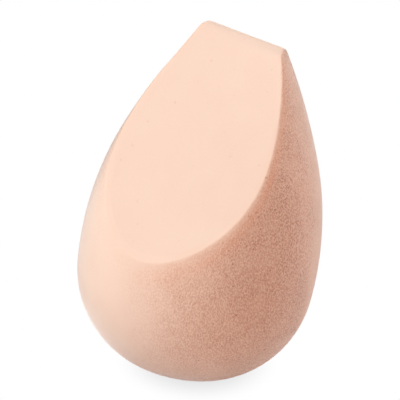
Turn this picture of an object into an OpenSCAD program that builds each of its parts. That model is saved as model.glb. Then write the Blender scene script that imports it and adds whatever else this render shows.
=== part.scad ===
// Makeup sponge: a rounded teardrop of moulded foam, cut to one large flat face and a small cut at its narrow end.
// Millimetres. +Z is up, +X is the side that the flat face looks towards, and the part is alike on both sides
// of Y = 0. The origin is the spot that the sponge stands on.
// The teardrop is drawn about its own upright axis, from the pole of its rounded end, and is then leaned back
// onto the spot where it rests.

/* [Teardrop] */
// Largest diameter of the rounded body
widest_d = 42.3; // [36:0.1:50]
// Radius of the rounded bottom end
base_r = 26; // [22:0.5:32]
// Radius of the flanks that rise from the belly
flank_r = 57; // [45:1:80]
// Radius of the straighter flanks near the narrow end
crown_r = 115; // [80:5:200]
// Angle, seen from the middle of the bottom round, at which the bottom passes into the belly
base_turn = 16; // [8:1:22]
// Angle at which the belly passes into the flanks, where 90 is the level of the largest diameter
belly_turn = 85; // [78:1:90]
// Angle at which the flanks pass into the straighter ones
flank_turn = 111; // [100:1:120]

/* [Flat cuts] */
// Angle between the flat face and the teardrop's axis
face_tilt = 30.5; // [20:0.5:40]
// Distance from the bottom pole to the plane of the flat face
face_reach = 30.1; // [26:0.1:36]
// Height of the narrow end's cut, measured up the axis from the bottom pole
tip_h = 63.5; // [55:0.5:68]
// Slope of the narrow end's cut, falling away from the flat face
tip_slope = 17; // [0:1:30]
// Radius of the rounded edge between the flat face and the narrow end's cut
tip_edge_r = 1.2; // [0.4:0.1:2]

/* [Foam] */
// Thickness of the denser skin that the mould leaves on the foam
skin_t = 0.8; // [0.4:0.1:1.5]

/* [Standing] */
// How far the sponge leans back from its flat face when it stands
lean = 20; // [0:1:30]
// Depth of the flat spot that the sponge rests on
rest_cut = 0.5; // [0.3:0.1:1.5]

/* [Hidden] */
$fn = 120;
// Fineness of the teardrop's outline, in degrees
arc_step = 2;
core_colour = [0.98, 0.84, 0.76];
skin_colour = [0.87, 0.67, 0.58];

// The belly's radius follows from the largest diameter and from the rounds that it meets smoothly
belly_r = (widest_d / 2 - base_r * sin(base_turn) - flank_r * (1 - sin(belly_turn)))
  / (sin(belly_turn) - sin(base_turn));

// Centres of the four rounds, as distance from the axis and height, each where the last one's ends meet it
function next_centre(from, r_from, r_to, turn) = from + (r_from - r_to) * [sin(turn), -cos(turn)];
base_centre = [0, base_r];
belly_centre = next_centre(base_centre, base_r, belly_r, base_turn);
flank_centre = next_centre(belly_centre, belly_r, flank_r, belly_turn);
crown_centre = next_centre(flank_centre, flank_r, crown_r, flank_turn);

// One overrun serves every cut: it is longer than the sponge in any direction
reach = widest_d + tip_h;

// The round that touches the ground when the teardrop leans, and how low it then reaches
touch_centre = lean > base_turn ? belly_centre : base_centre;
touch_r = lean > base_turn ? belly_r : base_r;
touch_x = -touch_centre[0] * cos(lean) - touch_centre[1] * sin(lean);
touch_z = -touch_centre[0] * sin(lean) + touch_centre[1] * cos(lean) - touch_r;

// Where two straight cuts meet, each given by the direction it faces and its distance from the pole
function meet(turn_a, dist_a, turn_b, dist_b) =
  [dist_a * sin(turn_b) - dist_b * sin(turn_a), dist_b * cos(turn_a) - dist_a * cos(turn_b)]
  / sin(turn_b - turn_a);
function towards(turn) = [cos(turn), sin(turn)];
tip_turn = 90 + tip_slope;
tip_reach = tip_h * cos(tip_slope);
edge_corner = meet(face_tilt, face_reach, tip_turn, tip_reach);
edge_centre = meet(face_tilt, face_reach - tip_edge_r, tip_turn, tip_reach - tip_edge_r);

// Points along one round, past its first angle and up to its last, in steps of about arc_step
function arc_points(centre, r, from, to) =
  let (steps = ceil((to - from) / arc_step))
  [for (i = [1 : steps]) let (turn = from + (to - from) * i / steps)
    [max(0, centre[0] + r * sin(turn)), centre[1] - r * cos(turn)]];

// Half of the teardrop's outline, from its pole to its point, drawn in from the surface by inset
module half_outline(inset) {
  point_turn = 180 - asin(-crown_centre[0] / (crown_r - inset));
  polygon(concat(
    [[0, inset]],
    arc_points(base_centre, base_r - inset, 0, base_turn),
    arc_points(belly_centre, belly_r - inset, base_turn, belly_turn),
    arc_points(flank_centre, flank_r - inset, belly_turn, flank_turn),
    arc_points(crown_centre, crown_r - inset, flank_turn, point_turn)
  ));
}

// Leans what is drawn about the upright axis and sets it on its resting spot
module stood()
  translate([-touch_x, 0, -touch_z - rest_cut]) rotate([0, -lean, 0]) children();

// The whole teardrop as it stands, drawn in by inset on every side, the resting spot too
module teardrop(inset)
  intersection() {
    stood() rotate_extrude() half_outline(inset);
    translate([-reach, -reach, inset]) cube([2 * reach, 2 * reach, reach]);
  }

// The side of a straight cut that keeps the foam
module kept_side(turn, dist)
  rotate(turn) translate([dist - 2 * reach, -reach]) square([2 * reach, 2 * reach]);

// Both straight cuts seen from the side, with the rounded edge where they meet
module cut_outline() {
  difference() {
    intersection() {
      kept_side(face_tilt, face_reach);
      kept_side(tip_turn, tip_reach);
    }
    polygon([
      edge_centre,
      edge_centre + tip_edge_r * towards(face_tilt),
      2 * edge_corner - edge_centre,
      edge_centre + tip_edge_r * towards(tip_turn)
    ]);
  }
  translate(edge_centre) circle(r = tip_edge_r);
}

// What the two cuts leave, across the whole width
module cuts()
  stood() rotate([90, 0, 0]) linear_extrude(height = 2 * reach, center = true) cut_outline();

// Soft open-celled foam, bare on the flat face and on the narrow end's cut
module foam_core()
  color(core_colour)
  intersection() {
    teardrop(skin_t);
    cuts();
  }

// Skin from the mould round the sides and the bottom, its edge bare round both cuts
module moulded_skin()
  color(skin_colour)
  intersection() {
    difference() {
      teardrop(0);
      teardrop(skin_t);
    }
    cuts();
  }

foam_core();
moulded_skin();
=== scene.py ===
"""Makeup sponge: a teardrop of soft moulded foam with a large flat face, on a white table.

The sponge is made of two pieces. The core is fine-celled foam, bare on the flat face and on the
small cut at the narrow end. The skin is the denser, grained layer that the mould leaves round the
sides and the bottom. Lengths are metres. The teardrop is drawn about its own axis, up from the
pole of its rounded end, and is then leaned back onto the spot that it rests on, which is the
frame's origin.
"""

import math

import bpy
import numpy as np
from bpy.props import FloatProperty, FloatVectorProperty, IntProperty, PointerProperty
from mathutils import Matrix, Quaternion, Vector


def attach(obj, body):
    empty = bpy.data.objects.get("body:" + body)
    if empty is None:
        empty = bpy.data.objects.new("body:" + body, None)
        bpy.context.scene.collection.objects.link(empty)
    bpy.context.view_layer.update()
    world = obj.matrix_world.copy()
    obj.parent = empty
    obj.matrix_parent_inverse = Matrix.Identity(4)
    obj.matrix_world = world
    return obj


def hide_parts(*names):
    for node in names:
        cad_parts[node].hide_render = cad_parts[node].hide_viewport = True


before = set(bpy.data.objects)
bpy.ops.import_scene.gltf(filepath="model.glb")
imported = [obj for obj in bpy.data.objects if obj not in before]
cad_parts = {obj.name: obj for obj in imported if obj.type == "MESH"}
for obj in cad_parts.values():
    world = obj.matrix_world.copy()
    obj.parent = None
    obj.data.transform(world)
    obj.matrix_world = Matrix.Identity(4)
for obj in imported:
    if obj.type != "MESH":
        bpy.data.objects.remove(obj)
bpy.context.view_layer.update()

bl_info = {
    "name": "Makeup sponge",
    "version": (1, 0, 0),
    "blender": (4, 5, 0),
    "location": "3D View > Sidebar > Sponge",
    "description": "Builds a makeup sponge of skinned foam and its photo table",
    "category": "Object",
}

MM = 0.001

# What the camera looks at and what the lamps shine at
LOOK_AT = (-0.00038, -0.00058, 0.03246)
LAMP_AIM = (0, 0, 0.03)
LAMP_DISTANCE = 0.7
# Name, degrees round from the camera, degrees up, diameter, strength where 1 shows a white
# surface as white, and colour
LAMPS = (
    ("key_lamp", -80, 52, 0.45, 0.66, (0.79, 0.95, 1.0)),
    ("left_lamp", -60, 8, 0.45, 0.19, (0.52, 0.86, 1.0)),
    ("left_rim_lamp", -115, 8, 0.45, 0.15, (1.0, 0.38, 0.12)),
    ("right_back_lamp", 120, 8, 0.45, 0.64, (1.0, 0.90, 0.87)),
    ("top_lamp", 180, 75, 0.45, 0.29, (0.74, 0.93, 1.0)),
    ("warm_front_lamp", 0, 8, 0.45, 0.36, (1.0, 0.58, 0.46)),
)
# The camera's sensor in millimetres, and the nearest and farthest that it sees
SENSOR_WIDTH = 36
NEAREST, FARTHEST = 0.05, 20

# Rows and columns of the meshes: a step is about 0.3 mm on the grained skin, 0.2 mm on the face
SKIN_COLUMNS = 420
SKIN_ROWS = 186
EDGE_ROWS = 7
RIM_ROWS = 4
INNER_ROWS = 16
FACE_CELLS = 250
CORE_ROWS = 14
TABLE_CORNERS = 96
# Steps along an outline to measure it, halvings to find a border on it, and points on a border
OUTLINE_STEPS = 2000
BORDER_HALVINGS = 46
BORDER_POINTS = 4000

# The blade's path. It winds down the length of the flat face, and crosses its straight plane at
# two shares of that length. The winding starts softly at the middle of the width, and the blade
# turns into the narrow end's cut from a little before the edge.
FACE_LENGTH = 45 * MM
PLANE_CROSSINGS = (0.37, 0.76)
WINDING_START = 4 * MM
TURN_START = 2 * MM
# The middle of the core's grid, as a share of the way down the face
GRID_MIDDLE = 0.42
# The narrow end's high corner spreads from this height, in full this much higher and this far to
# the side, and rises by this share of its spread
CORNER_FROM, CORNER_RISE, CORNER_SIDE = 55 * MM, 7 * MM, 8 * MM
CORNER_UP = 0.1
# Over 1, the skin's cut edge stays narrow for longer down the face
EDGE_POWER = 1.5
# How softly the skin bends onto the table, how far up its grain fades out there, and how far in
# from their border the cuts come to their full unevenness
REST_BEND = 0.12 * MM
REST_FADE = 0.8 * MM
CUT_MARGIN = 1.0 * MM

# How strong the skin's grain is, as pairs of a place and the strength there: across the body
# # towards its smooth side, and up from the table. The painted shade in the grain's hollows
# follows
# # the same strength, so it is faint on the smooth side, which faces the key lamp
SMOOTH_SIDE = math.radians(-35)
GRAIN_ACROSS = ((-20 * MM, 0.5), (-14 * MM, 1.4), (0, 1.05), (12 * MM, 0.8), (20 * MM, 0.06))
GRAIN_UP = ((3 * MM, 0.5), (14 * MM, 1))
# How much weaker the grain is on the far side, in degrees round from +X, and up from the table;
# # the painted shade in its hollows is lighter there with it
THIN_GRAIN_ROUND = ((86, 0), (98, 1), (150, 1), (180, 0))
THIN_GRAIN_UP = ((15 * MM, 0.8), (32 * MM, 0.25))

# Widths of the patterns in the materials
PATCH_SIZE = 3.2 * MM
MOUTH_GAP = 1.6 * MM
SKIN_CLOUD_SIZE = 9 * MM
FACE_CLOUD_SIZE = 8 * MM
CELL_SIZE = 0.32 * MM
CELL_DEPTH = 0.03 * MM
# How much of the hollows' darker colour, which is painted shade in the grain, the skin's cut edge
# takes, to come near the bare foam's tone
CUT_EDGE_TONE = 0.1
# Over 1, the shadow gathers closer under the sponge
SHADOW_POWER = 2.6

# The colour sockets of a Mix node by number, because its socket names aren't unique
MIX_SHARE, MIX_FROM, MIX_TO, MIXED = 0, 6, 7, 2
# Nodes in one row of a tree, and the room that each takes
NODES_IN_ROW = 9
NODE_WIDTH, NODE_HEIGHT = 240, 320


def linear(hex_colour):
    """An sRGB hex colour as linear red, green and blue."""
    parts = [int(hex_colour[i:i + 2], 16) / 255 for i in (1, 3, 5)]
    return tuple(c / 12.92 if c <= 0.04045 else ((c + 0.055) / 1.055) ** 2.4 for c in parts)


def colour_setting(name, description, hex_colour):
    return FloatVectorProperty(
        name=name, description=description, default=linear(hex_colour), subtype="COLOR",
        size=3, min=0, max=1,
    )


def length_setting(name, description, mm, most):
    return FloatProperty(
        name=name, description=description, default=mm * MM, min=0, max=most * MM,
        precision=5, unit="LENGTH",
    )


def share_setting(name, description, share):
    return FloatProperty(name=name, description=description, default=share, min=0, max=1)


def angle_setting(name, description, degrees):
    return FloatProperty(
        name=name, description=description, default=math.radians(degrees), subtype="ANGLE",
    )


class TeardropSettings(bpy.types.PropertyGroup):
    """The sizes of the teardrop and its cuts, as in the solid model, and how the blade strayed"""

    widest_d: length_setting("Widest diameter", "Largest diameter of the body", 42.3, 100)
    base_r: length_setting("Bottom radius", "Radius of the rounded bottom end", 26, 100)
    flank_r: length_setting("Flank radius", "Radius of the flanks above the belly", 57, 300)
    crown_r: length_setting(
        "Crown radius", "Radius of the straighter flanks near the narrow end", 115, 500)
    base_turn: angle_setting(
        "Bottom to belly", "Angle at which the bottom passes into the belly", 16)
    belly_turn: angle_setting(
        "Belly to flank", "Angle at which the belly passes into the flanks", 85)
    flank_turn: angle_setting(
        "Flank to crown", "Angle at which the flanks pass into the crown", 111)
    face_tilt: angle_setting(
        "Face tilt", "Angle between the flat face and the teardrop's axis", 30.5)
    face_reach: length_setting(
        "Face reach", "From the bottom pole to the plane of the flat face", 30.1, 100)
    tip_h: length_setting("Tip height", "Height of the narrow end's cut, up the axis", 63.5, 100)
    tip_slope: angle_setting(
        "Tip slope", "Slope of the narrow end's cut, away from the face", 17)
    tip_edge_r: length_setting(
        "Tip edge radius", "Radius of the edge between the face and the tip", 1.2, 5)
    lean: angle_setting(
        "Lean", "How far the sponge leans back from its face when it stands", 20)
    rest_cut: length_setting(
        "Rest depth", "Depth of the flat spot that the sponge rests on", 0.5, 3)
    winding: share_setting(
        "Winding", "How much the hand-cut face winds along its length", 0.45)
    tip_lean: angle_setting(
        "Tip lean", "How far the narrow end's cut leans to one side", 3.4)
    tip_low: length_setting(
        "Tip cut lower", "How much lower than straight the narrow end was cut", 0.2, 2)
    corner_out: length_setting(
        "Corner spread", "How far the foam spreads at the narrow end's high corner", 1.15, 3)


class SkinSettings(bpy.types.PropertyGroup):
    """The grained skin that the mould leaves"""

    thickness: length_setting("Thickness", "Thickness of the denser skin", 0.8, 3)
    edge_in: length_setting(
        "Edge on the cut", "How far the rounded edge reaches in over the cut", 0.3, 3)
    edge_top: length_setting(
        "Edge at the top", "How far the edge rounds down the side, at the narrow end", 0.5, 3)
    edge_low: length_setting(
        "Edge at the bottom", "How far it rounds down the side below the flat face", 2.6, 5)
    grain_size: length_setting(
        "Grain size", "Width of the grain's coarser bumps, made in the mesh", 1.0, 3)
    grain_depth: length_setting(
        "Grain depth", "Height of the coarser bumps from hollow to top", 0.08, 1)
    nap_size: length_setting(
        "Nap size", "Width of the grain's finest bumps, made in the material", 0.22, 3)
    nap_length: length_setting(
        "Nap length", "Length of the finest bumps, up the side", 0.37, 3)
    nap_depth: length_setting(
        "Nap depth", "Height of the finest bumps from hollow to top", 0.21, 1)
    swell_size: length_setting("Swell size", "Width of the foam's slow unevenness", 9, 50)
    swell_depth: length_setting("Swell depth", "Depth of the foam's slow unevenness", 0.06, 1)
    seed: IntProperty(
        name="Seed", description="Another seed lays the same grain differently", default=4)
    colour: colour_setting("Skin", "Peach of the skin", "#FDE1CD")
    # Painted shade: this colour darkens the grain's hollows and cell mouths; the cut edge and the
    # clouds also drift towards it
    hollow_shade_and_tone_colour: colour_setting("Hollows", "Deeper tone down in the grain's hollows", "#D09479")
    # Painted light: a warm tone put into the skin's colour beside the cut, on its grained and
    # shaded side, stands for light that comes through the foam
    painted_glow_colour: colour_setting(
        "Glow", "Warmer tone beside the cut, where light comes through the foam", "#FFC09A")
    painted_glow_reach: length_setting("Glow reach", "How far from the cut that tone reaches", 2.4, 10)
    glow: share_setting("Glow share", "How strong that tone is at the cut", 0.3)


class FoamSettings(bpy.types.PropertyGroup):
    """The bare foam of the cut faces"""

    pore_gap: length_setting("Pore gap", "Least distance between two open pores", 3.2, 30)
    pore_size: length_setting("Pore size", "Width of the widest open pore", 0.55, 3)
    pore_depth: length_setting("Pore depth", "Depth of the deepest open pore", 0.16, 1)
    wave_size: length_setting("Wave size", "Width of the cut's slow unevenness", 7, 50)
    wave_depth: length_setting("Wave depth", "Depth of the cut's slow unevenness", 0.05, 1)
    seed: IntProperty(
        name="Seed", description="Another seed places the pores differently", default=11)
    colour: colour_setting("Foam", "Pale peach of the cut foam", "#F7DBC8")
    # Painted shade: the colour inside the open pores and, faintly, in the cells' hollows; the
    # cut's clouds of tone also drift towards it
    pore_shade_and_cloud_colour: colour_setting("Pores", "Tone inside the open pores", "#EBB8A0")


class StageSettings(bpy.types.PropertyGroup):
    """Table, lamps and camera"""

    floor_r: FloatProperty(
        name="Table radius", description="Radius of the white table", default=1.6, min=0.2,
        unit="LENGTH",
    )
    table_colour: colour_setting(
        "Table", "Tone with which the table top lights the sponge", "#C3C3C3")
    shadow_reach: length_setting(
        "Shadow reach", "How far from the sponge its soft shadow reaches", 4.4, 100)
    shadow_depth: share_setting(
        "Shadow depth", "How much light the soft shadow takes away", 0.31)
    room_light: FloatProperty(
        name="Room light", description="Strength of the room's even light", default=0.22, min=0,
    )
    room_colour: FloatVectorProperty(
        name="Room colour", description="Warm tone of the even light", default=(1.0, 0.50, 0.32),
        subtype="COLOR", size=3, min=0, max=1,
    )
    lens: FloatProperty(
        name="Lens", description="Focal length on a 36 mm sensor, in millimetres", default=613.0,
        min=20,
    )
    azimuth: angle_setting(
        "Camera azimuth", "Direction of the camera round the sponge, from +X to +Y", 29.94)
    elevation: angle_setting(
        "Camera elevation", "Height of the camera above the table's level", 31.49)
    roll: angle_setting(
        "Camera roll", "Slight turn of the camera about its line of sight", 0.76)
    distance: FloatProperty(
        name="Camera distance", description="From the camera to what it looks at", default=1.2,
        min=0.1, unit="LENGTH",
    )


# ---- The teardrop's surface ----


class Teardrop:
    """The teardrop's outline and cuts as formulas, about its own axis"""

    def __init__(self, sizes):
        self.sizes = sizes
        sin_a, sin_b = math.sin(sizes.base_turn), math.sin(sizes.belly_turn)
        belly_r = sizes.widest_d / 2 - sizes.base_r * sin_a - sizes.flank_r * (1 - sin_b)
        belly_r /= sin_b - sin_a
        self.radii = np.array([sizes.base_r, belly_r, sizes.flank_r, sizes.crown_r])
        self.turns = np.array([sizes.base_turn, sizes.belly_turn, sizes.flank_turn])
        centre = np.array([0.0, sizes.base_r])
        centres = [centre]
        for last_r, next_r, turn in zip(self.radii, self.radii[1:], self.turns):
            centre = centre + (last_r - next_r) * np.array([math.sin(turn), -math.cos(turn)])
            centres.append(centre)
        self.centres = np.array(centres)
        # Two cuts, each with its direction in the X-Z plane and its distance from the pole
        self.cut_turns = np.array([sizes.face_tilt, math.pi / 2 + sizes.tip_slope])
        self.cut_normals = np.stack([np.cos(self.cut_turns), np.sin(self.cut_turns)], 1)
        self.cut_reach = np.array([sizes.face_reach, sizes.tip_h * math.cos(sizes.tip_slope)])
        self.edge_centre = np.linalg.solve(self.cut_normals, self.cut_reach - sizes.tip_edge_r)
        self.edge_length = sizes.tip_edge_r * (self.cut_turns[1] - self.cut_turns[0])
        # How the leaned teardrop moves onto its resting spot
        touch = int(sizes.lean > sizes.base_turn)
        c_r, c_z = self.centres[touch]
        up = self.radii[touch] - sizes.rest_cut
        self.shift = np.array([
            c_r * math.cos(sizes.lean) + c_z * math.sin(sizes.lean), 0,
            c_r * math.sin(sizes.lean) - c_z * math.cos(sizes.lean) + up,
        ])

    def outline(self, turn, inset):
        """Distance from the axis and height where the outline faces a turn from straight down."""
        arc = np.searchsorted(self.turns, turn)
        radius = self.radii[arc] - inset
        return (
            np.maximum(self.centres[arc, 0] + radius * np.sin(turn), 0),
            self.centres[arc, 1] - radius * np.cos(turn),
        )

    def point_turn(self, inset):
        """The turn at which the outline reaches the axis at the narrow end."""
        return math.pi - math.asin(-self.centres[3, 0] / (self.radii[3] - inset))

    def surface(self, turn, around, inset):
        r, z = self.outline(turn, inset)
        return np.stack([r * np.cos(around), r * np.sin(around), z], -1)

    def over_cut(self, points):
        """How far points stand out of the two cuts and their rounded edge, negative inside."""
        flat = points[..., [0, 2]]
        out = (flat @ self.cut_normals.T - self.cut_reach).max(-1)
        from_edge = flat - self.edge_centre
        turn = np.arctan2(from_edge[..., 1], from_edge[..., 0])
        at_edge = (turn > self.cut_turns[0]) & (turn < self.cut_turns[1])
        over_edge = np.linalg.norm(from_edge, axis=-1) - self.sizes.tip_edge_r
        return np.where(at_edge, over_edge, out) - self.strayed(self.laid_flat(points))

    def down_face(self, flat):
        """How far down the face places on the unrolled cuts are, from 0 at its top to 1."""
        return np.clip(-flat[..., 0] / FACE_LENGTH, 0, 1)

    def strayed(self, flat):
        """How far outwards the blade strayed from its straight cuts, at unrolled places."""
        down = self.down_face(flat)
        high_crossing, low_crossing = PLANE_CROSSINGS
        winding = self.sizes.winding * (down - high_crossing) * (down - low_crossing)
        tipped = np.clip((flat[..., 0] + TURN_START) / (self.edge_length + TURN_START), 0, 1)
        tipped = tipped ** 2 * (3 - 2 * tipped)
        # The face winds on one half of its width, the narrow end's cut leans across the whole
        across = flat[..., 1]
        one_half = (across + np.hypot(across, WINDING_START)) / 2
        lower = self.sizes.tip_low + across * math.tan(self.sizes.tip_lean)
        return one_half * winding * (1 - tipped) - lower * tipped

    def border_turn(self, around, inset):
        """The turn at which each meridian reaches the cuts."""
        low = np.full_like(around, self.turns[0])
        high = np.full_like(around, self.point_turn(inset))
        for _ in range(BORDER_HALVINGS):
            middle = (low + high) / 2
            inside = self.over_cut(self.surface(middle, around, inset)) < 0
            low, high = np.where(inside, middle, low), np.where(inside, high, middle)
        return (low + high) / 2

    def laid_flat(self, points):
        """Points on the cuts as they lie when the cuts are unrolled: along them and across."""
        from_edge = points[..., [0, 2]] - self.edge_centre
        turn = np.clip(np.arctan2(from_edge[..., 1], from_edge[..., 0]), *self.cut_turns)
        along_face, along_tip = (from_edge @ np.array([-n[1], n[0]]) for n in self.cut_normals)
        over_edge = self.sizes.tip_edge_r * (turn - self.cut_turns[0])
        past_face = np.where(along_tip > 0, self.edge_length + along_tip, over_edge)
        along = np.where(along_face < 0, along_face, past_face)
        return np.stack([along, points[..., 1]], -1)

    def rolled_up(self, flat):
        """Places on the unrolled cuts as points in space: the way back from laid_flat."""
        along, across = flat[..., 0], flat[..., 1]
        turn = self.cut_turns[0] + np.clip(along, 0, self.edge_length) / self.sizes.tip_edge_r
        normal = np.stack([np.cos(turn), np.sin(turn)], -1)
        beyond = np.where(along < 0, along, np.maximum(along - self.edge_length, 0))
        place = self.edge_centre + self.sizes.tip_edge_r * normal
        place = place + beyond[..., None] * np.stack([-normal[..., 1], normal[..., 0]], -1)
        place = place + self.strayed(flat)[..., None] * normal
        return np.stack([place[..., 0], across, place[..., 1]], -1)

    def stood(self, points, floor, soft=0.0):
        """Leans points back and sets them on the resting spot, above floor, with a soft bend."""
        cos_l, sin_l = math.cos(self.sizes.lean), math.sin(self.sizes.lean)
        x, y, z = points[..., 0], points[..., 1], points[..., 2]
        high = np.clip((z - CORNER_FROM) / CORNER_RISE, 0, 1) ** 2
        corner = high * np.clip(-y / CORNER_SIDE, 0, 1)
        y = y - self.sizes.corner_out * corner
        z = z + CORNER_UP * self.sizes.corner_out * corner
        placed = np.stack([x * cos_l - z * sin_l, y, x * sin_l + z * cos_l], -1) + self.shift
        above = placed[..., 2] - floor
        if soft:
            bent = np.where(above < -soft, 0, (above + soft) ** 2 / (4 * soft))
            placed[..., 2] = floor + np.where(above > soft, above, bent)
        else:
            placed[..., 2] = floor + np.maximum(above, 0)
        return placed


def read_off(places, pairs):
    """The value at each place, on straight lines between pairs of a place and its value."""
    return np.interp(places, *zip(*pairs))


def grain_share(points):
    """How strong the skin's grain is at each point, and with it the painted shade in the grain's
    hollows. One side, the one that faces the key lamp, is smooth. The grain is weaker at the
    bottom too, and on the far side, most of all low down."""
    to_smooth = np.array([math.cos(SMOOTH_SIDE), math.sin(SMOOTH_SIDE), 0])
    degrees = np.degrees(np.arctan2(points[:, 1], points[:, 0])) % 360
    thinned = read_off(degrees, THIN_GRAIN_ROUND) * read_off(points[:, 2], THIN_GRAIN_UP)
    across = read_off(points @ to_smooth, GRAIN_ACROSS)
    return across * (1 - thinned) * read_off(points[:, 2], GRAIN_UP)


def spread_rows(teardrop, border, around, rows, inset, shifted=0):
    """Rows of points from the pole to each meridian's border turn, evenly far apart along it."""
    turn = np.linspace(0, teardrop.point_turn(inset), OUTLINE_STEPS)
    r, z = teardrop.outline(turn, inset)
    gone = np.concatenate([[0], np.cumsum(np.hypot(np.diff(r), np.diff(z)))])
    whole = np.interp(border, turn, gone)
    share = np.linspace(0, 1, rows + 1)[1:, None]
    turns = np.interp(share * whole, gone, turn)
    return teardrop.surface(turns, around + share ** 3 * shifted, inset)


def grid_faces(rows, columns, first):
    """Quads between rows of points that follow each other, each row a closed ring."""
    row = np.arange(rows - 1)[:, None] * columns + first
    here = np.arange(columns)[None, :]
    there = (here + 1) % columns
    corners = [row + here, row + there, row + columns + there, row + columns + here]
    return np.stack(corners, -1).reshape(-1, 4)


def mesh_piece(name, points, faces, sharp_edges=(), **point_values):
    """A smooth-shaded object from points and faces, with named values on its points."""
    mesh = bpy.data.meshes.new(name)
    mesh.from_pydata(points.tolist(), [], faces)
    mesh.validate()
    mesh.shade_smooth()
    for key, values in point_values.items():
        stored = mesh.attributes.new(key, "FLOAT", "POINT")
        stored.data.foreach_set("value", values.astype(np.float32))
    if len(sharp_edges):
        wanted = {tuple(sorted(edge)) for edge in sharp_edges}
        ends = np.empty(len(mesh.edges) * 2, dtype=np.int32)
        mesh.edges.foreach_get("vertices", ends)
        marks = [tuple(sorted(pair)) in wanted for pair in ends.reshape(-1, 2).tolist()]
        mesh.attributes.new("sharp_edge", "BOOLEAN", "EDGE").data.foreach_set("value", marks)
    piece = bpy.data.objects.new(name, mesh)
    bpy.context.scene.collection.objects.link(piece)
    return piece


# ---- Nodes ----


def node(tree, kind, inputs=None, **settings):
    """Adds a node with its settings, and gives its inputs their values or links."""
    made = tree.nodes.new(kind)
    down, along = divmod(len(tree.nodes) - 1, NODES_IN_ROW)
    made.location = (NODE_WIDTH * along, -NODE_HEIGHT * down)
    for key, value in settings.items():
        setattr(made, key, value)
    for key, value in (inputs or {}).items():
        if isinstance(value, bpy.types.NodeSocket):
            tree.links.new(value, made.inputs[key])
        else:
            made.inputs[key].default_value = value
    return made


def new_geometry_tree(name, sockets):
    """An empty Geometry Nodes tree with a geometry in and out, and named inputs between."""
    tree = bpy.data.node_groups.new(name, "GeometryNodeTree")
    for in_out in ("OUTPUT", "INPUT"):
        tree.interface.new_socket(
            "Geometry", in_out=in_out, socket_type="NodeSocketGeometry")
    for label, kind in sockets.items():
        tree.interface.new_socket(label, in_out="INPUT", socket_type=kind)
    return tree, node(tree, "NodeGroupInput").outputs


def unevenness(tree, place, size, depth, seed):
    """Heights that rise and fall about 0, of a size and a depth."""
    scale = node(tree, "ShaderNodeMath", {0: 1.0, 1: size}, operation="DIVIDE")
    noise = node(
        tree, "ShaderNodeTexNoise",
        {"Vector": place, "W": seed, "Scale": scale.outputs[0], "Detail": 1.0, "Roughness": 0.5},
        noise_dimensions="4D",
    )
    middle = node(tree, "ShaderNodeMath", {0: noise.outputs[0], 1: 0.5}, operation="SUBTRACT")
    height = node(tree, "ShaderNodeMath", {0: middle.outputs[0], 1: depth}, operation="MULTIPLY")
    return height.outputs[0]


def moved_out(tree, geometry, height):
    """The geometry with its points moved outwards, each by its height."""
    outward = node(tree, "GeometryNodeInputNormal").outputs[0]
    offset = node(
        tree, "ShaderNodeVectorMath", {0: outward, "Scale": height}, operation="SCALE")
    moved = node(
        tree, "GeometryNodeSetPosition", {"Geometry": geometry, "Offset": offset.outputs[0]})
    return moved.outputs[0]


def finish_geometry_tree(tree, geometry, material):
    """Ends a tree in Realize Instances and Set Material."""
    real = node(tree, "GeometryNodeRealizeInstances", {"Geometry": geometry})
    painted = node(
        tree, "GeometryNodeSetMaterial", {"Geometry": real.outputs[0], "Material": material})
    node(tree, "NodeGroupOutput", {"Geometry": painted.outputs[0]})


def apply_tree(piece, tree, values):
    """Runs a tree on a piece and keeps the result as its plain mesh."""
    modifier = piece.modifiers.new(tree.name, "NODES")
    modifier.node_group = tree
    for item in tree.interface.items_tree:
        if item.in_out == "INPUT" and item.name in values:
            modifier[item.identifier] = values[item.name]
    piece.update_tag()
    bpy.context.view_layer.update()
    evaluated = piece.evaluated_get(bpy.context.evaluated_depsgraph_get())
    mesh = bpy.data.meshes.new_from_object(evaluated)
    piece.modifiers.remove(modifier)
    before, piece.data = piece.data, mesh
    bpy.data.meshes.remove(before)
    mesh.name = piece.name


def grain_tree():
    """Raises the skin into its grain and its slow unevenness, along its own direction."""
    tree, given = new_geometry_tree("skin grain", {
        "Grain Size": "NodeSocketFloat", "Grain Depth": "NodeSocketFloat",
        "Swell Size": "NodeSocketFloat", "Swell Depth": "NodeSocketFloat",
        "Seed": "NodeSocketInt", "Material": "NodeSocketMaterial",
    })
    place = node(tree, "GeometryNodeInputPosition").outputs[0]
    grain, swell = (
        unevenness(tree, place, given[f"{kind} Size"], given[f"{kind} Depth"], given["Seed"])
        for kind in ("Grain", "Swell")
    )
    both = node(tree, "ShaderNodeMath", {0: grain, 1: swell}, operation="ADD")
    grained = node(
        tree, "GeometryNodeInputNamedAttribute", {"Name": "grained"}, data_type="FLOAT")
    held = node(
        tree, "ShaderNodeMath", {0: both.outputs[0], 1: grained.outputs[0]},
        operation="MULTIPLY",
    )
    raised = moved_out(tree, given["Geometry"], held.outputs[0])
    finish_geometry_tree(tree, raised, given["Material"])
    return tree


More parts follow.
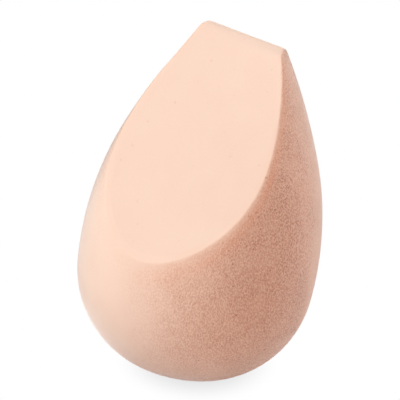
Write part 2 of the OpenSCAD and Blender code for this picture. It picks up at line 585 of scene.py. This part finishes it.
def pore_tree():
    """Opens scattered pores in the cut foam and gives the cut its slow unevenness."""
    tree, given = new_geometry_tree("cut foam pores", {
        "Pore Gap": "NodeSocketFloat", "Pore Size": "NodeSocketFloat",
        "Pore Depth": "NodeSocketFloat", "Wave Size": "NodeSocketFloat",
        "Wave Depth": "NodeSocketFloat", "Seed": "NodeSocketInt",
        "Material": "NodeSocketMaterial",
    })
    open_face = node(
        tree, "GeometryNodeInputNamedAttribute", {"Name": "cut"}, data_type="FLOAT",
    ).outputs[0]
    # Pores open past the cut's margin. The density is only a ceiling: the gap sets their number
    chosen = node(
        tree, "FunctionNodeCompare", {"A": open_face, "B": 0.99},
        data_type="FLOAT", operation="GREATER_THAN",
    )
    scattered = node(
        tree, "GeometryNodeDistributePointsOnFaces",
        {"Mesh": given["Geometry"], "Selection": chosen.outputs[0],
         "Distance Min": given["Pore Gap"], "Density Max": 40000.0, "Density Factor": 1.0,
         "Seed": given["Seed"]},
        distribute_method="POISSON",
    )
    place = node(tree, "GeometryNodeInputPosition").outputs[0]
    nearest = node(
        tree, "GeometryNodeSampleNearest",
        {"Geometry": scattered.outputs[0], "Sample Position": place},
    )
    pore_place = node(
        tree, "GeometryNodeSampleIndex",
        {"Geometry": scattered.outputs[0], "Value": place, "Index": nearest.outputs[0]},
        data_type="FLOAT_VECTOR",
    )
    # Few pores are wide: the share is squared
    chance = node(
        tree, "FunctionNodeRandomValue", {"ID": nearest.outputs[0], "Seed": given["Seed"]},
        data_type="FLOAT",
    )
    share = node(tree, "ShaderNodeMath", {0: chance.outputs[1], 1: 2.0}, operation="POWER")
    some = node(
        tree, "ShaderNodeMapRange", {"Value": share.outputs[0], "To Min": 0.35, "To Max": 1.0})
    reach = node(
        tree, "ShaderNodeMath", {0: given["Pore Size"], 1: 0.5}, operation="MULTIPLY")
    radius = node(
        tree, "ShaderNodeMath", {0: reach.outputs[0], 1: some.outputs[0]}, operation="MULTIPLY")
    away = node(
        tree, "ShaderNodeVectorMath", {0: place, 1: pore_place.outputs[0]}, operation="DISTANCE")
    hollow = node(
        tree, "ShaderNodeMapRange",
        {"Value": away.outputs["Value"], "From Min": 0.0, "From Max": radius.outputs[0],
         "To Min": 1.0, "To Max": 0.0},
        interpolation_type="SMOOTHSTEP",
    )
    depth = node(
        tree, "ShaderNodeMath", {0: given["Pore Depth"], 1: some.outputs[0]},
        operation="MULTIPLY",
    )
    sunk = node(
        tree, "ShaderNodeMath", {0: hollow.outputs[0], 1: depth.outputs[0]},
        operation="MULTIPLY",
    )
    wave = unevenness(tree, place, given["Wave Size"], given["Wave Depth"], given["Seed"])
    rise = node(tree, "ShaderNodeMath", {0: wave, 1: sunk.outputs[0]}, operation="SUBTRACT")
    held = node(
        tree, "ShaderNodeMath", {0: rise.outputs[0], 1: open_face}, operation="MULTIPLY")
    opened = moved_out(tree, given["Geometry"], held.outputs[0])
    # The pore's shape is kept, and the material paints shade into it
    marked = node(
        tree, "GeometryNodeStoreNamedAttribute",
        {"Geometry": opened, "Name": "pore", "Value": hollow.outputs[0]},
        data_type="FLOAT", domain="POINT",
    )
    finish_geometry_tree(tree, marked.outputs[0], given["Material"])
    return tree


# ---- Materials ----


def new_material(name):
    material = bpy.data.materials.new(name)
    material.use_nodes = True
    material.node_tree.nodes.clear()
    return material, material.node_tree


def looked_at(tree):
    """1 for rays from the camera, straight or by way of a mirror or glass, and 0 for others."""
    rays = node(tree, "ShaderNodeLightPath").outputs
    shown = rays["Is Camera Ray"]
    for ray in ("Is Glossy Ray", "Is Transmission Ray"):
        either = node(tree, "ShaderNodeMath", {0: shown, 1: rays[ray]}, operation="MAXIMUM")
        shown = either.outputs[0]
    return shown


def clouded(tree, here, size, most):
    """A share from 0 to the most, in clouds of a size, by which a tone varies slowly."""
    clouds = node(
        tree, "ShaderNodeTexNoise", {"Vector": here, "Scale": 1 / size, "Detail": 2.0})
    share = node(
        tree, "ShaderNodeMapRange",
        {"Value": clouds.outputs[0], "From Min": 0.3, "From Max": 0.7,
         "To Min": 0.0, "To Max": most},
    )
    return share.outputs[0]


def make_skin_material(settings):
    """Polyurethane foam, skinned in the mould and buffed: matt, with a close suede-like grain.
    Painted shade darkens the grain's hollows and the cell mouths, faint on the smooth side that
    faces the key lamp and strong on the far side, so the grain stands out where light grazes it.
    Beside the cut, a painted warm light stands for light that comes through the foam."""
    material, tree = new_material("polyurethane_foam_moulded_skin")
    here = node(tree, "ShaderNodeTexCoord").outputs["Object"]
    grained = node(tree, "ShaderNodeAttribute", attribute_name="grained").outputs["Fac"]
    # The grain is closer in some patches, a few millimetres wide, than in others
    patches = node(
        tree, "ShaderNodeTexNoise", {"Vector": here, "Scale": 1 / PATCH_SIZE, "Detail": 1.0})
    patchy = node(
        tree, "ShaderNodeMapRange",
        {"Value": patches.outputs[0], "From Min": 0.35, "From Max": 0.65,
         "To Min": 0.85, "To Max": 1.15},
    )
    share = node(
        tree, "ShaderNodeMath", {0: grained, 1: patchy.outputs[0]}, operation="MULTIPLY",
    ).outputs[0]
    # Suede-like grain, drawn up the sides. The real nap is finer than 0.1 mm, and is drawn as
    # coarse as it needs to show
    lying = node(
        tree, "ShaderNodeMapping",
        {"Vector": here, "Scale": (1, 1, settings.nap_size / settings.nap_length)},
    )
    grain = node(
        tree, "ShaderNodeTexNoise",
        {"Vector": lying.outputs[0], "Scale": 1 / settings.nap_size, "Detail": 1.5,
         "Roughness": 0.5},
    )
    # Mouths of single cells among it
    cells = node(
        tree, "ShaderNodeTexVoronoi", {"Vector": here, "Scale": 1 / MOUTH_GAP}, feature="F1")
    mouth = node(
        tree, "ShaderNodeMapRange",
        {"Value": cells.outputs["Distance"], "From Min": 0.06, "From Max": 0.15,
         "To Min": 1.0, "To Max": 0.0},
    )
    tint = clouded(tree, here, SKIN_CLOUD_SIZE, 0.06)
    # Painted shade in the grain's hollows and in the cell mouths, as strong as the grain's share
    hollow = node(
        tree, "ShaderNodeMapRange",
        {"Value": grain.outputs[0], "From Min": 0.4, "From Max": 0.6,
         "To Min": 0.58, "To Max": 0.0},
    )
    both = node(
        tree, "ShaderNodeMath", {0: mouth.outputs[0], 1: hollow.outputs[0]},
        operation="MAXIMUM",
    )
    painted_hollow_shade = node(tree, "ShaderNodeMath", {0: both.outputs[0], 1: share}, operation="MULTIPLY")
    # Where the blade cut through it, the skin comes near the bare foam's tone
    cut_edge = node(tree, "ShaderNodeAttribute", attribute_name="bare").outputs["Fac"]
    toned = node(tree, "ShaderNodeMath", {0: cut_edge, 1: CUT_EDGE_TONE}, operation="MULTIPLY")
    shade = node(tree, "ShaderNodeMath", {0: toned.outputs[0], 1: tint}, operation="ADD")
    deep = node(
        tree, "ShaderNodeMath", {0: painted_hollow_shade.outputs[0], 1: shade.outputs[0]}, operation="ADD")
    colour = node(
        tree, "ShaderNodeMix",
        {MIX_SHARE: deep.outputs[0], MIX_FROM: (*settings.colour, 1),
         MIX_TO: (*settings.hollow_shade_and_tone_colour, 1)},
        data_type="RGBA",
    )
    # Painted light: beside the cut the grain's colour is warmed, on its grained and shaded side,
    # to
    #     # stand for light that enters the bare face and comes out again close beside it
    by_cut = node(tree, "ShaderNodeAttribute", attribute_name="by_cut").outputs["Fac"]
    beside = node(tree, "ShaderNodeMath", {0: by_cut, 1: share}, operation="MULTIPLY")
    glow = node(
        tree, "ShaderNodeMath", {0: beside.outputs[0], 1: settings.glow}, operation="MULTIPLY")
    warmed = node(
        tree, "ShaderNodeMix",
        {MIX_SHARE: glow.outputs[0], MIX_FROM: colour.outputs[MIXED],
         MIX_TO: (*settings.painted_glow_colour, 1)},
        data_type="RGBA",
    )
    rough = node(
        tree, "ShaderNodeMapRange", {"Value": grain.outputs[0], "To Min": 0.95, "To Max": 0.82})
    sunk = node(tree, "ShaderNodeMath", {0: mouth.outputs[0], 1: -0.35}, operation="MULTIPLY")
    rise = node(
        tree, "ShaderNodeMath", {0: grain.outputs[0], 1: sunk.outputs[0]}, operation="ADD")
    height = node(tree, "ShaderNodeMath", {0: rise.outputs[0], 1: share}, operation="MULTIPLY")
    bump = node(
        tree, "ShaderNodeBump",
        {"Strength": 1.0, "Distance": settings.nap_depth, "Height": height.outputs[0]},
    )
    foam = node(
        tree, "ShaderNodeBsdfPrincipled",
        {"Base Color": warmed.outputs[MIXED], "Roughness": rough.outputs[0],
         "Normal": bump.outputs[0], "Specular IOR Level": 0.25,
         "Sheen Weight": 1.0, "Sheen Roughness": 0.4},
    )
    node(tree, "ShaderNodeOutputMaterial", {"Surface": foam.outputs[0]})
    return material


def make_foam_material(settings):
    """Polyurethane foam, cut with a blade: matt and even, its cells too fine to see but for a
    few open pores. Painted shade darkens the open pores and, faintly, the cells' hollows."""
    material, tree = new_material("polyurethane_foam_blade_cut")
    here = node(tree, "ShaderNodeTexCoord").outputs["Object"]
    # The real cells are about 0.1 mm wide; they are drawn three times as coarse, and faint, to
    #     # show at all. Painted shade darkens their hollows faintly
    cells = node(
        tree, "ShaderNodeTexNoise",
        {"Vector": here, "Scale": 1 / CELL_SIZE, "Detail": 2.0, "Roughness": 0.6},
    )
    pore = node(tree, "ShaderNodeAttribute", attribute_name="pore").outputs["Fac"]
    faint = node(
        tree, "ShaderNodeMapRange",
        {"Value": cells.outputs[0], "From Min": 0.3, "From Max": 0.7,
         "To Min": 0.08, "To Max": 0.0},
    )
    tint = clouded(tree, here, FACE_CLOUD_SIZE, 0.08)
    both = node(tree, "ShaderNodeMath", {0: faint.outputs[0], 1: tint}, operation="ADD")
    pore_shade_and_cloud_colour = (*settings.pore_shade_and_cloud_colour, 1)
    body = node(
        tree, "ShaderNodeMix",
        {MIX_SHARE: both.outputs[0], MIX_FROM: (*settings.colour, 1), MIX_TO: pore_shade_and_cloud_colour},
        data_type="RGBA",
    )
    # Painted shade inside the open pores
    colour = node(
        tree, "ShaderNodeMix",
        {MIX_SHARE: pore, MIX_FROM: body.outputs[MIXED], MIX_TO: pore_shade_and_cloud_colour},
        data_type="RGBA",
    )
    rough = node(
        tree, "ShaderNodeMapRange", {"Value": cells.outputs[0], "To Min": 0.95, "To Max": 0.85})
    bump = node(
        tree, "ShaderNodeBump",
        {"Strength": 0.5, "Distance": CELL_DEPTH, "Height": cells.outputs[0]},
    )
    foam = node(
        tree, "ShaderNodeBsdfPrincipled",
        {"Base Color": colour.outputs[MIXED], "Roughness": rough.outputs[0],
         "Normal": bump.outputs[0], "Specular IOR Level": 0.2,
         "Sheen Weight": 0.1, "Sheen Roughness": 0.6},
    )
    node(tree, "ShaderNodeOutputMaterial", {"Surface": foam.outputs[0]})
    return material


def make_table_material(settings):
    """Sprayed white board: it shows pure white but for the sponge's shadow."""
    material, tree = new_material("white_board_sprayed")
    shown = looked_at(tree)
    board = node(
        tree, "ShaderNodeBsdfPrincipled",
        {"Base Color": (*settings.table_colour, 1), "Roughness": 0.9, "Specular IOR Level": 0.0},
    )
    # Its shadow is the soft one close under the sponge, where the board sees little of the room
    close = node(
        tree, "ShaderNodeAmbientOcclusion", {"Distance": settings.shadow_reach}, samples=16)
    covered = node(tree, "ShaderNodeMath", {0: 1.0, 1: close.outputs["AO"]}, operation="SUBTRACT")
    gathered = node(
        tree, "ShaderNodeMath", {0: covered.outputs[0], 1: SHADOW_POWER}, operation="POWER")
    shadow = node(
        tree, "ShaderNodeMath", {0: gathered.outputs[0], 1: settings.shadow_depth},
        operation="MULTIPLY",
    )
    level = node(tree, "ShaderNodeMath", {0: 1.0, 1: shadow.outputs[0]}, operation="SUBTRACT")
    white = node(
        tree, "ShaderNodeEmission", {"Color": (1, 1, 1, 1), "Strength": level.outputs[0]})
    mixed = node(
        tree, "ShaderNodeMixShader", {0: shown, 1: board.outputs[0], 2: white.outputs[0]})
    node(tree, "ShaderNodeOutputMaterial", {"Surface": mixed.outputs[0]})
    return material


# ---- Operators ----


class SPONGE_OT_make_skin(bpy.types.Operator):
    """Makes the grained skin round the sides and the bottom, with its soft cut edge"""

    bl_idname = "sponge.make_skin"
    bl_label = "Make the moulded skin"

    def execute(self, context):
        sizes, skin = context.scene.sponge_teardrop, context.scene.sponge_skin
        drop = Teardrop(sizes)
        around = np.linspace(0, 2 * math.pi, SKIN_COLUMNS, endpoint=False)
        turn = drop.border_turn(around, 0)
        corner = drop.surface(turn, around, 0)
        inner_turn = drop.border_turn(around, skin.thickness)
        inner_flat = drop.laid_flat(drop.surface(inner_turn, around, skin.thickness))

        # Across the border: in over the cut, and down the side of the body
        flat = drop.laid_flat(corner)
        step = np.roll(flat, -1, 0) - np.roll(flat, 1, 0)
        step /= np.linalg.norm(step, axis=1)[:, None]
        edge_flat = flat + skin.edge_in * np.stack([step[:, 1], -step[:, 0]], 1)
        edge_end = drop.rolled_up(edge_flat)
        along = np.roll(corner, -1, 0) - np.roll(corner, 1, 0)
        along /= np.linalg.norm(along, axis=1)[:, None]
        sin_t, cos_t, sin_a, cos_a = np.sin(turn), np.cos(turn), np.sin(around), np.cos(around)
        outward = np.stack([sin_t * cos_a, sin_t * sin_a, -cos_t], 1)
        down = np.cross(along, outward)
        down /= np.linalg.norm(down, axis=1)[:, None]
        up_meridian = np.stack([cos_t * cos_a, cos_t * sin_a, sin_t], 1)
        round_axis = np.stack([-sin_a, cos_a, np.zeros_like(around)], 1)
        radius = drop.radii[np.searchsorted(drop.turns, turn)]
        widened = (skin.edge_low - skin.edge_top) * drop.down_face(flat) ** EDGE_POWER
        edge_out = skin.edge_top + widened
        body_turn = turn + edge_out * (down * up_meridian).sum(1) / radius
        shifted = edge_out * (down * round_axis).sum(1) / drop.outline(turn, 0)[0]

        # Rows up the body, over the rounded edge, in over the cut, and back down inside
        body = spread_rows(drop, body_turn, around, SKIN_ROWS, 0, shifted)
        share = np.linspace(0, 1, EDGE_ROWS + 1)[1:, None, None]
        edge = (1 - share) ** 2 * body[-1] + 2 * share * (1 - share) * corner
        edge = edge + share ** 2 * edge_end
        rim_share = np.linspace(0, 1, RIM_ROWS + 1)[1:, None, None]
        rim = drop.rolled_up(edge_flat + rim_share * (inner_flat - edge_flat))
        inner = spread_rows(drop, inner_turn, around, INNER_ROWS, skin.thickness)[-2::-1]
        pole, inner_pole = np.array([[0, 0, 0]]), np.array([[0, 0, skin.thickness]])
        outside = drop.stood(np.concatenate([pole, *body, *edge, *rim]), 0, REST_BEND)
        inside = drop.stood(np.concatenate([*inner, inner_pole]), skin.thickness)
        points = np.concatenate([outside, inside])

        rows = len(body) + len(edge) + len(rim) + len(inner)
        here = np.arange(SKIN_COLUMNS)
        there = (here + 1) % SKIN_COLUMNS
        last = 1 + (rows - 1) * SKIN_COLUMNS
        end = np.full_like(here, len(points) - 1)
        faces = grid_faces(rows, SKIN_COLUMNS, first=1).tolist()
        faces += np.stack([np.zeros_like(here), 1 + there, 1 + here], 1).tolist()
        faces += np.stack([last + here, last + there, end], 1).tolist()
        cut_row = 1 + (len(body) + len(edge) + len(rim) - 1) * SKIN_COLUMNS
        sharp = np.stack([cut_row + here, cut_row + there], 1).tolist()

        # The grain covers the body, and fades out over the edge and down at the table
        body_points = 1 + len(body) * SKIN_COLUMNS
        fade = np.repeat(1 - share[:, 0, 0], SKIN_COLUMNS)
        grained = np.zeros(len(points))
        grained[:body_points] = 1
        grained[body_points:][:len(fade)] = fade
        bare = 1 - grained
        grained[:len(outside)] *= np.clip(outside[:, 2] / REST_FADE, 0, 1)
        # The grain's share also sets how much painted shade the material puts in the grain's
        # hollows
        grained *= grain_share(points)
        # Closeness to the cut, where the material paints a warm light into the grain's colour
        by_cut = np.ones(len(points))
        from_cut = np.linalg.norm(body - body[-1], axis=-1).ravel()
        by_cut[:body_points] = np.concatenate([[0], np.exp(-from_cut / skin.painted_glow_reach)])
        piece = mesh_piece(
            "sponge_skin", points, faces, sharp, grained=grained, bare=bare, by_cut=by_cut)
        apply_tree(piece, grain_tree(), {
            "Grain Size": skin.grain_size, "Grain Depth": skin.grain_depth,
            "Swell Size": skin.swell_size, "Swell Depth": skin.swell_depth,
            "Seed": skin.seed, "Material": make_skin_material(skin),
        })
        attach(piece, "root")
        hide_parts("moulded_skin")
        return {"FINISHED"}


class SPONGE_OT_make_core(bpy.types.Operator):
    """Makes the foam core, bare on the flat face and on the narrow end's cut"""

    bl_idname = "sponge.make_core"
    bl_label = "Make the foam core"

    def execute(self, context):
        scene = context.scene
        sizes, foam, inset = scene.sponge_teardrop, scene.sponge_foam, scene.sponge_skin.thickness
        drop = Teardrop(sizes)

        # The cut's border laid flat, as a distance from the middle in every direction
        around = np.linspace(0, 2 * math.pi, BORDER_POINTS, endpoint=False)
        border = drop.laid_flat(drop.surface(drop.border_turn(around, inset), around, inset))
        middle = np.array([GRID_MIDDLE * border[:, 0].min(), 0])
        turn = np.arctan2(border[:, 1], border[:, 0] - middle[0])
        order = np.argsort(turn)
        reach = np.linalg.norm(border - middle, axis=1)

        # A square grid pressed out to that border
        side = np.linspace(-1, 1, FACE_CELLS + 1)
        u, v = np.meshgrid(side, side, indexing="ij")
        x, y = u * np.sqrt(1 - v ** 2 / 2), v * np.sqrt(1 - u ** 2 / 2)
        border_reach = np.interp(
            np.arctan2(y, x), turn[order], reach[order], period=2 * math.pi)
        flat = middle + border_reach[..., None] * np.stack([x, y], -1)
        face = drop.rolled_up(flat).reshape(-1, 3)
        number = np.arange(u.size).reshape(u.shape)
        ring = np.concatenate(
            [number[0, :-1], number[:-1, -1], number[-1, :0:-1], number[:0:-1, 0]])

        # The body under the skin, with a meridian to each point of the border
        around = np.arctan2(face[ring, 1], face[ring, 0])
        body = spread_rows(drop, drop.border_turn(around, inset), around, CORE_ROWS, inset)
        face[ring] = body[-1]
        under = np.concatenate([[[0, 0, inset]], *body[:-1]])
        points = np.concatenate([drop.stood(face, inset), drop.stood(under, inset)])

        pole = len(face)
        here = np.arange(len(ring))
        there = (here + 1) % len(ring)
        top = pole + 1 + (CORE_ROWS - 2) * len(ring)
        bottom = np.full_like(here, pole)
        quads = np.stack([number[:-1, :-1], number[:-1, 1:], number[1:, 1:], number[1:, :-1]], -1)
        faces = quads.reshape(-1, 4).tolist()
        faces += grid_faces(CORE_ROWS - 1, len(ring), first=pole + 1).tolist()
        faces += np.stack([top + here, top + there, ring[there], ring[here]], 1).tolist()
        faces += np.stack([bottom, pole + 1 + there, pole + 1 + here], 1).tolist()
        sharp = np.stack([ring[here], ring[there]], 1).tolist()

        cut = np.zeros(len(points))
        from_border = (1 - np.hypot(x, y)) * border_reach
        cut[:pole] = np.clip(from_border / CUT_MARGIN, 0, 1).ravel()
        piece = mesh_piece("sponge_core", points, faces, sharp, cut=cut)
        apply_tree(piece, pore_tree(), {
            "Pore Gap": foam.pore_gap, "Pore Size": foam.pore_size,
            "Pore Depth": foam.pore_depth, "Wave Size": foam.wave_size,
            "Wave Depth": foam.wave_depth, "Seed": foam.seed,
            "Material": make_foam_material(foam),
        })
        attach(piece, "root")
        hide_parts("foam_core")
        return {"FINISHED"}


def direction(azimuth, elevation):
    """A unit direction from its azimuth, from +X toward +Y, and its height above level."""
    level = math.cos(elevation)
    return Vector((level * math.cos(azimuth), level * math.sin(azimuth), math.sin(elevation)))


def lamp(name, towards, size, power, colour):
    """A soft round lamp that shines on the sponge."""
    light = bpy.data.lights.new(name, "AREA")
    light.shape, light.size, light.energy, light.color = "DISK", size, power, colour
    made = bpy.data.objects.new(name, light)
    made.location = Vector(LAMP_AIM) + towards * LAMP_DISTANCE
    made.rotation_euler = towards.to_track_quat("Z", "Y").to_euler()
    made.visible_camera = False
    bpy.context.scene.collection.objects.link(made)


class SPONGE_OT_make_stage(bpy.types.Operator):
    """Sets up the white table, the soft lamps and the camera of the photograph"""

    bl_idname = "sponge.make_stage"
    bl_label = "Set the photo table"

    def execute(self, context):
        scene, stage = context.scene, context.scene.sponge_stage
        turn = np.linspace(0, 2 * math.pi, TABLE_CORNERS, endpoint=False)
        ring = np.stack([np.cos(turn), np.sin(turn), np.zeros_like(turn)], 1) * stage.floor_r
        table = mesh_piece("table", ring, [list(range(len(ring)))])
        table.data.materials.append(make_table_material(stage))

        for name, turn, height, size, strength, colour in LAMPS:
            towards = direction(stage.azimuth + math.radians(turn), math.radians(height))
            lamp(name, towards, size, strength * math.pi ** 2 * LAMP_DISTANCE ** 2, colour)

        world = scene.world or bpy.data.worlds.new("room")
        scene.world = world
        world.use_nodes = True
        tree = world.node_tree
        tree.nodes.clear()
        shown = looked_at(tree)
        room = node(
            tree, "ShaderNodeBackground",
            {"Color": (*stage.room_colour, 1), "Strength": stage.room_light},
        )
        white = node(tree, "ShaderNodeBackground", {"Color": (1, 1, 1, 1), "Strength": 1.0})
        sky = node(
            tree, "ShaderNodeMixShader", {0: shown, 1: room.outputs[0], 2: white.outputs[0]})
        node(tree, "ShaderNodeOutputWorld", {"Surface": sky.outputs[0]})

        camera = bpy.data.objects.new("photo_camera", bpy.data.cameras.new("photo_camera"))
        camera.data.lens, camera.data.sensor_width = stage.lens, SENSOR_WIDTH
        camera.data.clip_start, camera.data.clip_end = NEAREST, FARTHEST
        to_camera = direction(stage.azimuth, stage.elevation)
        camera.location = Vector(LOOK_AT) + to_camera * stage.distance
        turned = to_camera.to_track_quat("Z", "Y") @ Quaternion((0, 0, 1), stage.roll)
        camera.rotation_euler = turned.to_euler()
        scene.collection.objects.link(camera)
        scene.camera = camera
        scene.view_settings.view_transform = "Standard"
        return {"FINISHED"}


class SPONGE_PT_panel(bpy.types.Panel):
    """Lists the pieces of the sponge with their settings"""

    bl_idname = "SPONGE_PT_panel"
    bl_label = "Makeup sponge"
    bl_space_type = "VIEW_3D"
    bl_region_type = "UI"
    bl_category = "Sponge"

    def draw(self, context):
        for operator, groups in PANEL_ROWS:
            box = self.layout.box()
            for group in groups:
                settings = getattr(context.scene, group)
                for key in settings.__annotations__:
                    box.prop(settings, key)
            box.operator(operator.bl_idname)


PANEL_ROWS = (
    (SPONGE_OT_make_skin, ("sponge_teardrop", "sponge_skin")),
    (SPONGE_OT_make_core, ("sponge_foam",)),
    (SPONGE_OT_make_stage, ("sponge_stage",)),
)
GROUPS = {
    "sponge_teardrop": TeardropSettings, "sponge_skin": SkinSettings,
    "sponge_foam": FoamSettings, "sponge_stage": StageSettings,
}
CLASSES = (*GROUPS.values(), *(row[0] for row in PANEL_ROWS), SPONGE_PT_panel)


def register():
    for made in CLASSES:
        bpy.utils.register_class(made)
    for name, group in GROUPS.items():
        setattr(bpy.types.Scene, name, PointerProperty(type=group))


def unregister():
    for name in GROUPS:
        delattr(bpy.types.Scene, name)
    for made in reversed(CLASSES):
        bpy.utils.unregister_class(made)


def main():
    register()
    bpy.ops.sponge.make_stage()
    bpy.ops.sponge.make_skin()
    bpy.ops.sponge.make_core()


if __name__ == "__main__":
    main()
